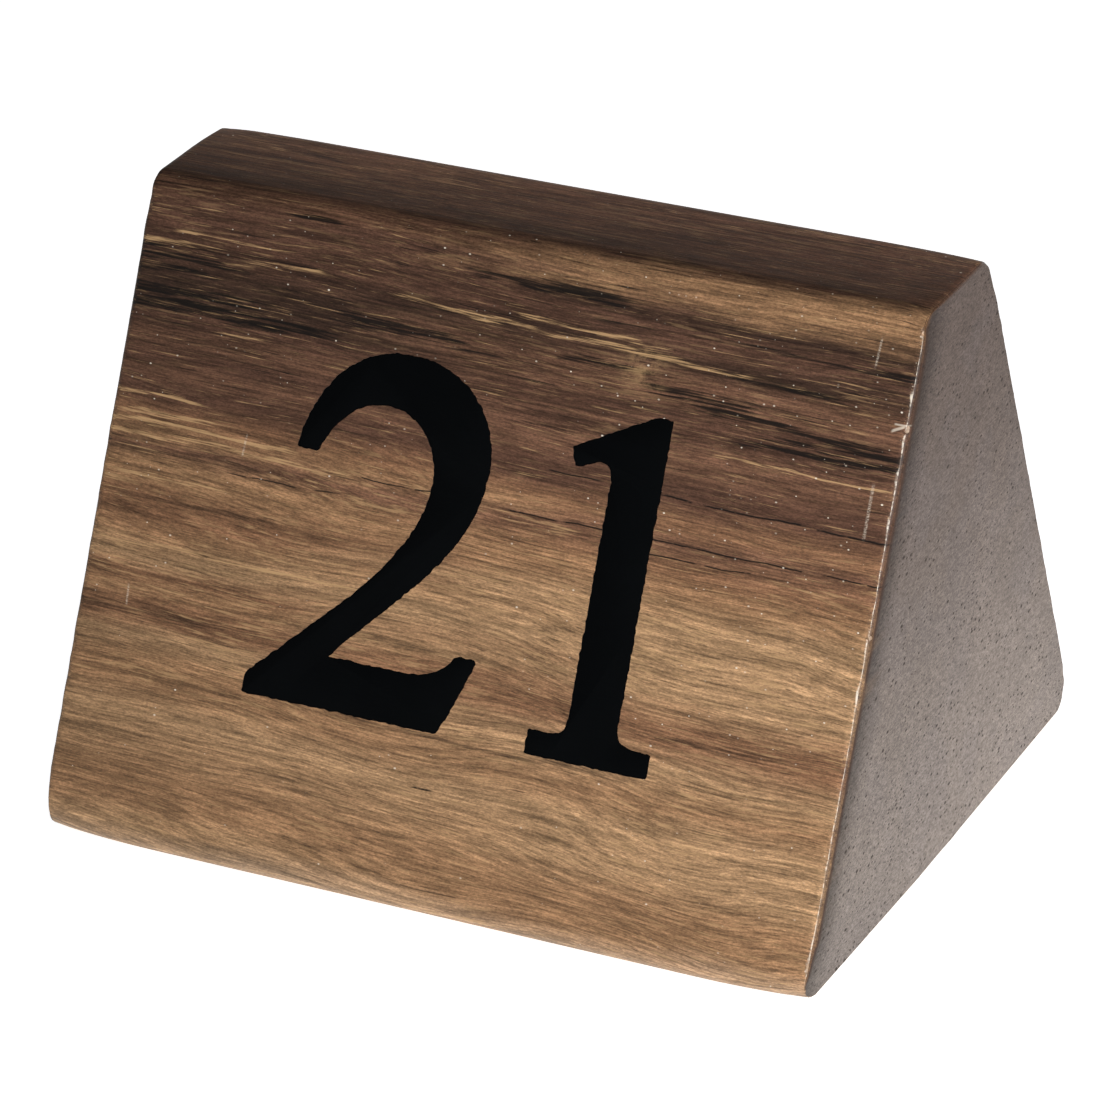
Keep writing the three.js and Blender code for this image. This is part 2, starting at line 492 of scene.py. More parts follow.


# Growth bands of the left and right halves: millimetres up the slope, and the colour there.
# The first stop of each list, base_reflection, is a painted reflection of the floor along the base
# edge.
LEFT_BANDS = [
    (0, "base_reflection"), (3.5, "honey"), (5.5, "tan"), (8, "tan"), (13, "honey"), (15.5, "tan"),
    (17.5, "tan"), (20, "honey"), (21.5, "umber"), (23, "umber"), (24.5, "tan"), (26, "umber"),
    (27.5, "honey"), (29.5, "tan"), (31, "umber"), (32.3, "umber"), (34, "tan"), (35.3, "tan"),
    (36.7, "chestnut"), (38, "tan"), (40, "umber"), (42.3, "walnut"), (44, "chestnut"),
    (45.5, "walnut"), (47.3, "chestnut"), (48.5, "walnut"), (50, "dusk"), (52.5, "dusk"),
    (55.5, "walnut"), (59, "walnut"), (61, "chestnut"), (64, "walnut"),
]
RIGHT_BANDS = [
    (0, "base_reflection"), (3.5, "tan"), (6.5, "tan"), (9, "honey"), (13, "honey"), (15.5, "tan"),
    (18, "honey"), (20.5, "umber"), (22, "umber"), (24.5, "honey"), (31, "honey"),
    (33.5, "tan"), (35, "umber"), (37.5, "chestnut"), (39, "umber"), (41, "walnut"),
    (42.7, "walnut"), (44, "chestnut"), (45.5, "chestnut"), (47, "walnut"), (48.5, "walnut"),
    (50, "chestnut"), (51.5, "chestnut"), (53.5, "dusk"), (55.5, "walnut"), (57, "dusk"),
    (58.5, "tan"), (60.2, "tan"), (61, "chestnut"), (62, "walnut"), (64, "walnut"),
]
LAST_BAND = 64

# Lines on the front: middle, reach, start, end, tilt, fade. All are in millimetres, but for
# the tilt, which is the rise for each millimetre to the right.
DARK_LINES = [
    (54.3, 0.4, -40, -36, -0.01, 2),
    (53.5, 0.45, -40, -27, -0.01, 4),
    (52.6, 0.4, -40, -30, 0, 3),
    (51.0, 0.7, -40, -26, 0, 5),
    (49.6, 0.9, -40, -20, 0, 7),
    (51.4, 0.7, -15, -6, 0, 4),
    (52.0, 0.5, 6, 12, -0.03, 4),
    (50.9, 0.6, 14, 22, -0.03, 3),
    (53.4, 0.5, 22, 30, -0.03, 4),
    (50.6, 0.6, 20, 35, -0.05, 3),
    (48.2, 0.5, 28, 38, 0, 4),
    (55.6, 0.5, 24, 38, -0.01, 6),
    (57.5, 0.6, -3, 8, -0.02, 4),
    (59.6, 0.35, -22, -19, 0, 2),
    (47.3, 0.45, 24, 36, 0, 4),
    (36.7, 0.5, -40, -24, 0, 4),
    (32.4, 0.4, -34, -22, 0, 5),
    (22.2, 0.6, -40, -21, 0, 4),
    (16.7, 0.25, -6, 14, 0, 5),
    (20.6, 0.45, 22, 38, 0.02, 5),
]
GOLD_LINES = [
    (56.0, 0.22, -33, -26, -0.01, 2),
    (55.2, 0.3, -40, -33, 0, 2),
    (54.4, 0.25, -26, -20, -0.02, 2),
    (53.7, 0.38, -10, 21, -0.04, 4),
    (54.6, 0.3, 2, 14, -0.05, 3),
    (41.6, 0.25, -38, -30, 0, 3),
    (39.8, 0.35, -40, -28, 0, 4),
    (38.7, 0.35, -39, -20, -0.01, 4),
    (37.7, 0.3, -38, -15, -0.01, 5),
    (34.4, 0.3, -38, -26, 0, 5),
    (28.2, 0.35, -36, -12, 0, 5),
    (45.6, 0.2, 22, 34, 0, 4),
]
CRACKS = [
    (41.75, 0.12, 17, 38, -0.018, 2),
    (41.7, 0.09, 6, 10, 0, 1),
    (37.7, 0.1, 3, 37, -0.008, 2),
    (37.9, 0.09, -13, -5, 0, 1),
    (36.0, 0.08, 16, 25, 0.016, 2),
    (36.2, 0.08, -24, -15, 0.012, 2),
    (12.1, 0.12, -1.6, -0.6, 0, 1),
]
CHIPS = [
    (32.7, 0.2, 36.1, 36.9, 0.5, 0.3),
    (51.3, 0.12, 36.2, 37.4, 0, 0.2),
]

# Scratches run up the slope: the same numbers, with the middle and the reach across.
SCRATCHES = [
    (35.2, 0.2, 41.5, 45.5, 0, 0.6),
    (30.7, 0.14, 56, 58, 0.05, 0.5),
    (-25.7, 0.14, 37.9, 39.4, 0.05, 0.4),
    (-31.5, 0.14, 22.8, 24.2, -0.05, 0.4),
]


class Grain:
    """Where a point lies in the wood: along the block, up its layers and back from its front."""

    def __init__(self, tree, section):
        self.tree = tree
        self.place = place_in_mm(tree)
        axes = add(tree, "ShaderNodeSeparateXYZ", {"Vector": self.place})
        self.across = axes.outputs["X"]
        self.depth = axes.outputs["Y"]
        self.rise = axes.outputs["Z"]
        self.front = spread(tree, self.depth, -2.0, -5.0)

        # The growth layers lean a little from front to back. Measured up the front slope, in
        # millimetres, a layer's height is its distance from the sharp base edge.
        lean = 0.15
        offset = lean * section.half_base / MM
        rate = math.sin(section.slope) + lean * math.cos(section.slope)
        leaned = plus(tree, self.rise, calc(tree, "MULTIPLY", self.depth, lean))
        self.up = calc(tree, "DIVIDE", plus(tree, leaned, offset), rate)

        # Fibres run a little downhill to the right and wave, most of all in the pale wood.
        self.steep = flowing_grain(tree, self.place, -3.5, 1.2)
        self.gentle = flowing_grain(tree, self.place, -1.5, 0.4)
        self.heart = spread(tree, self.up, 38, 46)
        sway = swing(tree, fibre(tree, self.gentle, 34, 9, 3.1, 3.0), 0.7)
        ripple = swing(tree, fibre(tree, self.steep, 9, 1.3, 7.7, 4.0, 0.6), 0.6)
        self.level = plus(tree, self.up, sway, ripple)
        self.middle = self.noise(3.6, 0.28, 53, 5.0, 0.7)
        self.fine = self.noise(0.9, 0.12, 67, 3.0, 0.7)
        self.speckle = fibre(tree, self.place, 0.3, 0.13, 71, 2.0, 0.7)

    def noise(self, run, width, seed, detail, roughness):
        """Fibres that follow the pale wood's grain low down and the heart's higher up."""
        pale = fibre(self.tree, self.steep, run, width, seed, detail, roughness)
        dark = fibre(self.tree, self.gentle, run, width, seed + 5, detail, roughness)
        return mix_values(self.tree, self.heart, pale, dark)


def growth_bands(grain, tones):
    """Growth bands one above another. The right half is paler below."""
    tree = grain.tree
    height = calc(tree, "DIVIDE", grain.level, LAST_BAND)
    left, right = (
        ramp(tree, height, [(up / LAST_BAND, getattr(tones, name)) for up, name in bands])
        for bands in (LEFT_BANDS, RIGHT_BANDS)
    )
    wander = swing(tree, fibre(tree, grain.place, 20, 2.5, 47, 3.0), 16)
    return blend(tree, spread(tree, plus(tree, grain.across, wander), -22, 18), left, right)


def with_fibres(grain, wood, tones):
    """Fibres of several sizes over the bands, and short bright dashes in the pale wood."""
    tree = grain.tree
    wood = shaded(
        tree, wood,
        spread(tree, grain.across, -40, -6, 0.82, 1.0),
        spread(tree, grain.up, 40, 48, 1.0, 0.88),
        spread(tree, grain.noise(15, 1.0, 41, 4.0, 0.6), 0.3, 0.7, 0.72, 1.28),
        spread(tree, grain.noise(8, 0.2, 59, 4.0, 0.6), 0.3, 0.7, 0.7, 1.36),
        spread(tree, grain.middle, 0.25, 0.75, 0.62, 1.4),
        spread(tree, grain.fine, 0.25, 0.75, 0.8, 1.2),
        spread(tree, grain.speckle, 0.25, 0.75, 0.7, 1.3),
    )
    dash = spread(tree, grain.noise(4.2, 0.3, 73, 4.0, 0.62), 0.53, 0.66)
    patch = spread(tree, fibre(tree, grain.place, 16, 6, 89), 0.42, 0.6, 0.25, 1.0)
    low_down = spread(tree, grain.up, 36, 44, 0.6, 0.22)
    return blend(tree, times(tree, dash, patch, low_down), wood, tones.gold)


def with_streaks(grain, wood, tones):
    """Near-black streaks, golden ones and a smoky spot, frayed into many thin lines."""
    tree = grain.tree
    streaky = fibre(tree, grain.gentle, 10, 0.24, 11.0, 4.0, 0.62)
    wavy_up = plus(tree, grain.up, swing(tree, fibre(tree, grain.place, 7, 3, 29.0, 3.0), 0.3))
    drawn = times(tree, lines(tree, grain.across, wavy_up, DARK_LINES), grain.front, 0.85)
    dark = spread(tree, plus(tree, drawn, swing(tree, streaky, 1.15)), 0.3, 1.0)
    in_heart = between(tree, grain.up, 46, 56, 3)
    loose = times(tree, spread(tree, streaky, 0.56, 0.68), in_heart, 0.6)
    inky = mix_values(tree, spread(tree, grain.up, 40, 46), 0.5, 0.92)
    share = times(tree, calc(tree, "MAXIMUM", dark, loose), inky)
    wood = blend(tree, share, wood, tones.streak)

    sparkle = swing(tree, fibre(tree, grain.gentle, 6, 0.16, 23.0, 4.0, 0.66), 1.3)
    drawn = times(tree, lines(tree, grain.across, wavy_up, GOLD_LINES), grain.front, 0.85)
    bright = spread(tree, plus(tree, drawn, sparkle), 0.4, 1.3)
    wood = blend(tree, times(tree, bright, 0.85), wood, tones.gold)
    smoke = times(
        tree, between(tree, grain.across, 12.6, 12.8, 3), between(tree, grain.up, 51.9, 52.1, 3)
    )
    puffs = spread(tree, fibre(tree, grain.place, 1.6, 1.0, 43, 4.0, 0.7), 0.42, 0.66, 0.0, 0.5)
    return blend(tree, times(tree, smoke, grain.front, puffs), wood, tones.gold)


def with_cracks(grain, wood, tones):
    """Hair cracks and short dark vessels. Gives the wood and where it is split."""
    tree = grain.tree
    near = plus(tree, grain.up, swing(tree, fibre(tree, grain.place, 5, 5, 31.0, 3.0), 0.16))
    broken = spread(tree, fibre(tree, grain.place, 2.4, 1.5, 37.0, 3.0), 0.36, 0.44)
    split = times(tree, lines(tree, grain.across, near, CRACKS), broken, grain.front)
    wood = blend(tree, times(tree, split, 0.95), wood, tones.streak)
    vessel = spread(tree, grain.noise(2.0, 0.12, 79, 2.0, 0.5), 0.64, 0.74)
    return blend(tree, times(tree, vessel, 0.65), wood, tones.dusk), split


def with_painted_top_light(grain, wood, section):
    """The flat top is darkest along its front edge, a painted shade, and palest along the back, a
    painted sheen.
    """
    tree = grain.tree
    height = section.height / MM
    on_top = spread(tree, grain.rise, height - 0.7, height - 0.1)
    # Painted shade towards the front edge and painted sheen towards the back edge.
    top_painted_light = shaded(tree, wood, spread(tree, grain.depth, -8, 7, 0.5, 2.2))
    return blend(tree, on_top, wood, top_painted_light)


def dust_and_scratches(grain):
    """Dust under the lacquer, faint scratches across the grain and two chipped spots."""
    tree = grain.tree
    share = plus(
        tree, spread(tree, grain.up, 16, 44, 0.1, 0.4), spread(tree, grain.across, 0, 34, 0.0, 0.3)
    )
    dust = specks(tree, grain.place, 0.56, share)
    scratch = lines(tree, grain.up, grain.across, SCRATCHES)
    faint = spread(tree, grain.speckle, 0.4, 0.65, 0.05, 0.4)
    dust = calc(tree, "MAXIMUM", dust, times(tree, scratch, faint, grain.front))
    chipped = lines(tree, grain.across, grain.up, CHIPS)
    return calc(tree, "MAXIMUM", dust, times(tree, chipped, grain.front, 0.5))


def end_pores(grain, cloud):
    """Open pores in the end grain: more of them low down and in clouds."""
    tree = grain.tree
    place = add(
        tree, "ShaderNodeCombineXYZ",
        {"X": calc(tree, "DIVIDE", grain.depth, 0.9), "Y": calc(tree, "DIVIDE", grain.rise, 0.5)},
    ).outputs[0]
    cells = add(
        tree, "ShaderNodeTexVoronoi", {"Vector": place, "Scale": 1.0}, voronoi_dimensions="2D"
    )
    drawn = add(tree, "ShaderNodeSeparateColor", {"Color": cells.outputs["Color"]})
    crowd = plus(
        tree, spread(tree, grain.level, 36, 8, 0.0, 0.2), spread(tree, cloud, 0.42, 0.6, 0, 0.4)
    )
    is_open = calc(tree, "LESS_THAN", drawn.outputs[1], plus(tree, crowd, 0.12))
    reach = plus(tree, times(tree, drawn.outputs[2], drawn.outputs[0], 0.34), 0.09)
    dot = spread(tree, calc(tree, "DIVIDE", cells.outputs["Distance"], reach), 1.2, 0.4)
    return times(tree, is_open, dot)


def end_grain(grain, tones, section):
    """Gritty end grain: paler low down, brown and in painted shade by the front. Gives tone and
    relief.
    """
    tree = grain.tree
    tone = blend(tree, spread(tree, grain.level, 0, 62), tones.end_pale, tones.end_dark)
    forward = plus(tree, grain.depth, section.half_base / MM)
    behind = calc(
        tree, "SUBTRACT", calc(tree, "MULTIPLY", forward, math.sin(section.slope)),
        calc(tree, "MULTIPLY", grain.rise, math.cos(section.slope)),
    )
    cloud = fibre(tree, grain.place, 6, 6, 83, 3.0, 0.6)
    mottle = fibre(tree, grain.place, 0.6, 0.6, 5.0, 4.0, 0.72, 0.2)
    grit = fibre(tree, grain.place, 0.2, 0.2, 15.0, 2.0, 0.7, 0.13)
    cool = spread(tree, fibre(tree, grain.place, 7, 7, 107, 3.0), 0.42, 0.62, 0, 0.14)
    tone = shaded(
        tree, blend(tree, cool, tone, tones.end_cool),
        # The next two factors are painted shade: darkest along the front edge, lighter towards the
        # back.
        spread(tree, behind, 0, 6, 0.3, 0.74),
        spread(tree, behind, 5, 50, 1.0, 1.4),
        spread(tree, cloud, 0.3, 0.7, 0.95, 1.05),
        spread(tree, mottle, 0.3, 0.7, 0.7, 1.3),
        spread(tree, grit, 0.3, 0.7, 0.78, 1.22),
    )
    tone = blend(tree, spread(tree, behind, 1.3, 0.5, 0, 0.8), tone, tones.dusk)
    pores = end_pores(grain, cloud)
    tone = blend(tree, times(tree, pores, 0.85), tone, tones.pore)
    return tone, plus(tree, mottle, times(tree, pores, -1.5))


def hardwood_material(tones, sizes, section):
    """Lacquered long grain on the long faces and matt end grain on the two ends."""
    material, tree = new_material("hardwood")
    grain = Grain(tree, section)
    wood = growth_bands(grain, tones)
    wood = with_fibres(grain, wood, tones)
    wood = with_streaks(grain, wood, tones)
    wood, split = with_cracks(grain, wood, tones)
    wood = with_painted_top_light(grain, wood, section)
    dust = dust_and_scratches(grain)
    wood = blend(tree, times(tree, dust, 0.9), wood, tones.dust)
    end_tone, end_relief = end_grain(grain, tones, section)

    # A face that looks along X, near the end of the block, is end grain.
    normal = add(tree, "ShaderNodeTexCoord").outputs["Normal"]
    sideways = add(tree, "ShaderNodeSeparateXYZ", {"Vector": normal}).outputs["X"]
    facing = calc(tree, "ABSOLUTE", sideways)
    near_end = calc(
        tree, "GREATER_THAN", calc(tree, "ABSOLUTE", grain.across),
        (sizes.block_length / 2 - 2 * sizes.arris) / MM,
    )
    end = times(tree, spread(tree, facing, 0.86, 0.985), near_end)
    surface = blend(tree, end, wood, end_tone)

    # The arris round each end is dark, with a thin painted highlight that comes and goes.
    on_arris = times(tree, between(tree, facing, 0.55, 0.9, 0.08), near_end)
    surface = blend(tree, times(tree, on_arris, 0.6), surface, tones.dusk)
    spots = fibre(tree, grain.place, 0.6, 0.6, 97, 4.0, 0.7)
    painted_arris_highlight = times(
        tree, between(tree, facing, 0.4, 0.45, 0.05), near_end, grain.front,
        spread(tree, grain.across, 30, 34), spread(tree, grain.up, 60, 58.5),
        spread(tree, spots, 0.42, 0.6, 0.15, 1.0),
    )
    # Painted highlight: a pale line mixed into the colour. The same mask also makes the lacquer
    # there glossier.
    surface = blend(tree, times(tree, painted_arris_highlight, 0.7), surface, tones.dust)
    gloss = spread(tree, grain.middle, 0.3, 0.7, 0.42, 0.56)
    gloss = mix_values(tree, calc(tree, "MAXIMUM", on_arris, painted_arris_highlight), gloss, 0.25)
    relief = plus(
        tree, grain.fine, times(tree, grain.middle, 0.8), times(tree, dust, 1.5),
        times(tree, end_relief, end), times(tree, split, -1.0),
    )
    close_tree(tree, {
        "Base Color": surface,
        "Roughness": mix_values(tree, end, gloss, 0.85),
        "Specular IOR Level": mix_values(tree, painted_arris_highlight, 0.14, 0.8),
        "Normal": bumped(tree, relief, 0.4, 0.05),
    })
    return material


def plain_wood_material(name, tone, roughness):
    """Bared or scorched wood, with a little grain."""
    material, tree = new_material(name)
    fine = fibre(tree, place_in_mm(tree), 3, 0.2, 13.0, 3.0)
    dark = tuple(channel * 0.7 for channel in tone)
    surface = blend(tree, spread(tree, fine, 0.3, 0.7), dark, tuple(tone))
    close_tree(tree, {"Base Color": surface, "Roughness": roughness})
    return material


def paint_material(tones):
    """Black paint, with the grain of the wood just telling through it."""
    material, tree = new_material("black_paint")
    place = place_in_mm(tree)
    fine = fibre(tree, flowing_grain(tree, place, -3, 0.5), 4, 0.25, 31.0, 3.0)
    cloud = fibre(tree, place, 6, 6, 17.0, 3.0)
    thin = tuple(channel * 1.25 for channel in tones.paint)
    surface = blend(tree, spread(tree, cloud, 0.35, 0.8), tuple(tones.paint), thin)
    close_tree(tree, {
        "Base Color": surface,
        "Roughness": spread(tree, fine, 0.2, 0.8, 0.6, 0.75),
        "Specular IOR Level": 0.02,
        "Normal": bumped(tree, fine, 0.25, 0.03),
    })
    return material


# ---- the numerals


def face_side(node):
    """-1 for a numeral on the front, 1 for one on the back."""
    low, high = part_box(node)
    return -1 if low.y + high.y < 0 else 1


def face_outline(node, section, sizes):
    """A numeral's outline on its face: points in order, a step apart, each slightly astray."""
    point, normal = section.face(face_side(node))
    lid = bmesh.new()
    lid.from_mesh(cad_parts[node].data)
    bmesh.ops.remove_doubles(lid, verts=lid.verts, dist=0.001 * MM)
    lid.normal_update()
    following = {}
    for edge in lid.edges:
        inside = [loop for loop in edge.link_loops if loop.face.normal.dot(normal) > 0.9]
        if len(inside) == 1:
            following[inside[0].vert.index] = inside[0].link_loop_next.vert.index
    lid.verts.ensure_lookup_table()
    first = min(following)
    corners = []
    current = first
    while not corners or current != first:
        corners.append(lid.verts[current].co.copy())
        current = following[current]
    lid.free()

    outline = []
    for start, end in zip(corners, corners[1:] + corners[:1]):
        run = end - start
        steps = max(1, math.ceil(run.length / sizes.outline_step))
        for step in range(steps):
            place = start + run * (step / steps)
            place -= normal * (place - point).dot(normal)
            outline.append(place)
    return outline


def grown_outline(outline, normal, margin):
    """The outline moved outwards in its own plane by a margin."""
    grown = []
    count = len(outline)
    for index, place in enumerate(outline):
        before = (place - outline[index - 1]).normalized()
        after = (outline[(index + 1) % count] - place).normalized()
        outward = (before + after).cross(normal)
        reach = max(0.5, outward.length / 2)
        grown.append(place + outward.normalized() * (margin / reach))
    return grown


def numeral_form(node, section, sizes, low, high, margin):
    """A numeral's own solid between two heights over its face, with a slightly ragged outline."""
    point, normal = section.face(face_side(node))
    outline = grown_outline(face_outline(node, section, sizes), normal, margin)
    noise.seed_set(RAGGED_SEED)
    ragged = []
    for place in outline:
        stray = noise.noise_vector(place / sizes.ragged_size) * sizes.ragged
        ragged.append(place + stray - normal * stray.dot(normal) + normal * low)
    mesh = bpy.data.meshes.new("numeral_form")
    mesh.from_pydata(ragged, [], [list(range(len(ragged)))])
    piece = bpy.data.objects.new("numeral_form", mesh)
    bpy.context.scene.collection.objects.link(piece)
    make_active(piece)
    bpy.ops.object.mode_set(mode="EDIT")
    bpy.ops.mesh.select_all(action="SELECT")
    bpy.ops.mesh.extrude_region_move(TRANSFORM_OT_translate={"value": normal * (high - low)})
    bpy.ops.mesh.select_all(action="SELECT")
    bpy.ops.mesh.normals_make_consistent(inside=False)
    bpy.ops.object.mode_set(mode="OBJECT")
    return piece


def numeral_cutter(node, section, sizes, material):
    """The pocket that a numeral's paint fills."""
    cutter = numeral_form(node, section, sizes, -sizes.pocket_depth, 1 * MM, sizes.clearance)
    cutter.data.materials.append(material)
    return cutter


def numeral_paint(node, section, sizes):
    """The paint in a numeral's pocket, rounded where it meets the wood."""
    margin = sizes.clearance - 0.01 * MM
    paint = numeral_form(node, section, sizes, -sizes.pocket_depth, -sizes.set_back, margin)
    point, normal = section.face(face_side(node))
    surface = point - normal * sizes.set_back

    def at_surface(edge):
        flat = all(abs((v.co - surface).dot(normal)) < 0.005 * MM for v in edge.verts)
        return flat and any(abs(f.normal.dot(normal)) < 0.5 for f in edge.link_faces)

    make_active(paint)
    bpy.ops.object.mode_set(mode="EDIT")
    pick(paint, "EDGE", at_surface)
    bpy.ops.mesh.bevel(offset=sizes.rim, segments=2, affect="EDGES")
    bpy.ops.object.mode_set(mode="OBJECT")
    smooth_by_angle(paint, 40)
    return paint


# ---- the block


def shaped_block(sizes, section):
    """The block before its numerals are cut: tapered, rounded and sliced for fine wear."""
    half_length = sizes.block_length / 2
    bpy.ops.mesh.primitive_cube_add(
        size=1, location=(0, 0, sizes.block_height / 2),
        scale=(sizes.block_length, 2 * section.half_base, sizes.block_height),
    )
    block = bpy.context.object
    bpy.ops.object.transform_apply(location=True, rotation=False, scale=True)
    bpy.ops.object.mode_set(mode="EDIT")

    pick(block, "FACE", lambda face: face.normal.z > 0.9)
    bpy.ops.transform.resize(value=(1, section.half_top / section.half_base, 1))

    def long_edge_at(height, sides):
        def test(edge):
            ends = [vertex.co for vertex in edge.verts]
            level = all(abs(end.z - height) < 0.01 * MM for end in ends)
            right_side = any(ends[0].y * side > 0 for side in sides)
            return level and right_side and abs(ends[0].x - ends[1].x) > half_length
        return test

    pick(block, "EDGE", long_edge_at(0, (-1, 1)))
    bpy.ops.mesh.bevel(offset=section.base_cut, segments=10, affect="EDGES")
    pick(block, "EDGE", long_edge_at(section.height, (-1,)))
    bpy.ops.mesh.bevel(offset=section.top_front_cut, segments=8, affect="EDGES")
    pick(block, "EDGE", long_edge_at(section.height, (1,)))
    bpy.ops.mesh.bevel(offset=section.top_back_cut, segments=10, affect="EDGES")

    def round_an_end(edge):
        first, last = (vertex.co.x for vertex in edge.verts)
        return abs(first + last) > 2 * half_length - 0.01 * MM

    pick(block, "EDGE", round_an_end)
    bpy.ops.mesh.bevel(offset=sizes.arris, segments=4, affect="EDGES")

    slices = int(sizes.block_height / sizes.slice_height)
    for step in range(1, slices):
        slice_mesh((0, 0, step * sizes.block_height / slices), (0, 0, 1))
    end_slices = 17
    crowding = 1.6
    for step in range(1, end_slices + 1):
        inset = sizes.arris + sizes.sanding_reach * (step / end_slices) ** crowding
        for side in (-1, 1):
            slice_mesh((side * (half_length - inset), 0, 0), (1, 0, 0))
    for depth in range(-6, 7, 2):
        slice_mesh((0, depth * MM, 0), (0, 1, 0))
    bpy.ops.object.mode_set(mode="OBJECT")
    return block


def fading(distance, reach):
    """1 at no distance, falling like a rolled edge to 0 at the reach."""
    return max(0.0, 1 - distance / reach) ** 2


def soften_ends(block, sizes, section):
    """The long edges fall away towards the ends, where they were sanded by hand."""
    half_length = sizes.block_length / 2
    deepest = sizes.base_front_drop + sizes.corner_drop

    def weight_at(place):
        inset = half_length - abs(place.x)
        fall = 0.0
        for depth, height, drop, worn in section.long_edges(sizes):
            away = math.hypot(place.y - depth, place.z - height)
            fall += drop * fading(inset, sizes.sanding_reach) * smooth_step(
                1 - away / sizes.edge_reach
            )
            fall += worn[place.x > 0] * sizes.corner_drop * fading(
                math.hypot(inset, away), sizes.corner_reach
            )
        return min(1.0, fall / deepest)

    weigh(block, "sanded_ends", weight_at)
    apply_modifier(
        block, "DISPLACE", vertex_group="sanded_ends", mid_level=0.0, strength=-deepest
    )


def wear_arrises(block, sizes):
    """Small dents along the edges round each end."""
    half_length = sizes.block_length / 2
    texture = bpy.data.textures.new("arris_wear", "CLOUDS")
    texture.noise_scale = sizes.wear_size
    texture.noise_depth = 2
    texture.contrast = 1.8
    inner = half_length - sizes.arris * 1.05

    def weight_at(place):
        return 1.0 if inner < abs(place.x) < half_length - 0.02 * MM else 0.0

    weigh(block, "arrises", weight_at)
    apply_modifier(
        block, "DISPLACE", vertex_group="arrises", mid_level=0.0, texture=texture,
        texture_coords="LOCAL", strength=-sizes.wear_depth,
    )


NICKS = [
    # side of the block, end, up the slope, radius
    (-1, 1, 51.0, 0.6),
    (-1, 1, 33.0, 0.55),
    (-1, 1, 12.0, 0.45),
    (-1, -1, 21.0, 0.45),
    (1, 1, 38.0, 0.5),
    (1, -1, 44.0, 0.55),
]


def nick_cutter(block_sizes, section, material, side, end, up, radius):
    """A small chip out of an end arris, with flat faces."""
    corner = section.on_slope(side, end * block_sizes.block_length / 2, up * MM)
    outward = (section.face(side)[1] + Vector((end, 0, 0))).normalized()
    deselect_all()
    bpy.ops.mesh.primitive_ico_sphere_add(
        subdivisions=1, radius=radius * MM,
        location=corner + outward * (radius * 0.25 * MM), rotation=(0.4, 0.9 * up, 0.7),
    )
    cutter = bpy.context.object
    bpy.ops.object.transform_apply(location=True, rotation=True, scale=False)
    cutter.data.materials.append(material)
    return cutter


# ---- operators


class TABLENUMBER_OT_stage(bpy.types.Operator):
    """Sets up the floor, the studio light and the camera"""

    bl_idname = "table_number.stage"
    bl_label = "Stage"

    def execute(self, context):
        stage = context.scene.table_number_stage
        tones = context.scene.table_number_finishes
        deselect_all()
        bpy.ops.mesh.primitive_plane_add(size=stage.floor_size)
        floor = context.object
        floor.name = "floor"
        floor.data.materials.append(self.floor_material(stage, tones))
        context.scene.world = self.studio_world(stage)
        context.scene.view_settings.view_transform = "Standard"
        self.add_light("overhead", (0.22, -0.25, 0.62), (0, 0, 0.02), 0.5, stage.overhead_power)
        self.add_light("side", (0.23, -0.16, 0.09), (0.01, 0, 0.03), 0.16, stage.side_power)
        self.add_camera(context, stage)
        return {"FINISHED"}

    def floor_material(self, stage, tones):
        """A pale floor lit a little from within, like a light table."""
        material, tree = new_material("floor")
        close_tree(tree, {
            "Base Color": (*tones.floor, 1), "Roughness": 0.9, "Specular IOR Level": 0.1,
            "Emission Color": (1, 1, 1, 1), "Emission Strength": stage.floor_glow,
        })
        return material

    def studio_world(self, stage):
        """A dim room with pale walls low down all round."""
        world = bpy.data.worlds.new("studio")
        world.use_nodes = True
        tree = world.node_tree
        direction = add(tree, "ShaderNodeTexCoord").outputs["Generated"]
        rise = add(tree, "ShaderNodeSeparateXYZ", {"Vector": direction}).outputs["Z"]
        strength = spread(tree, rise, 0.06, 0.2, stage.horizon_light, stage.room_light)
        tree.links.new(strength, tree.nodes["Background"].inputs["Strength"])
        tree.nodes["Background"].inputs["Color"].default_value = (1, 1, 1, 1)
        return world

    def add_light(self, name, place, target, size, power):
        """A square soft light that faces a point."""
        deselect_all()
        bpy.ops.object.light_add(type="AREA", location=place)
        light = bpy.context.object
        light.name = name
        light.data.shape = "SQUARE"
        light.data.size = size
        light.data.energy = power
        away = Vector(place) - Vector(target)
        light.rotation_euler = away.to_track_quat("Z", "Y").to_euler()

    def add_camera(self, context, stage):
        """The camera, turned to look at the block from the front right and above."""
        turn, rise = stage.azimuth, stage.elevation
        back = Vector((
            math.sin(turn) * math.cos(rise), -math.cos(turn) * math.cos(rise), math.sin(rise)
        ))
        level_right = Vector((math.cos(turn), math.sin(turn), 0))
        level_up = back.cross(level_right)
        right = math.cos(stage.roll) * level_right + math.sin(stage.roll) * level_up
        up = math.cos(stage.roll) * level_up - math.sin(stage.roll) * level_right
        middle = Vector((0, 0, BLOCK_HIGH.z / 2))
        place = middle - right * stage.aim_right - up * stage.aim_up + back * stage.distance
        deselect_all()
        bpy.ops.object.camera_add()
        camera = context.object
        camera.data.sensor_width = 36
        camera.data.lens = stage.focal_length
        camera.data.clip_start = 0.01
        camera.matrix_world = Matrix.Translation(place) @ Matrix(
            (right, up, back)
        ).transposed().to_4x4()
        context.scene.camera = camera


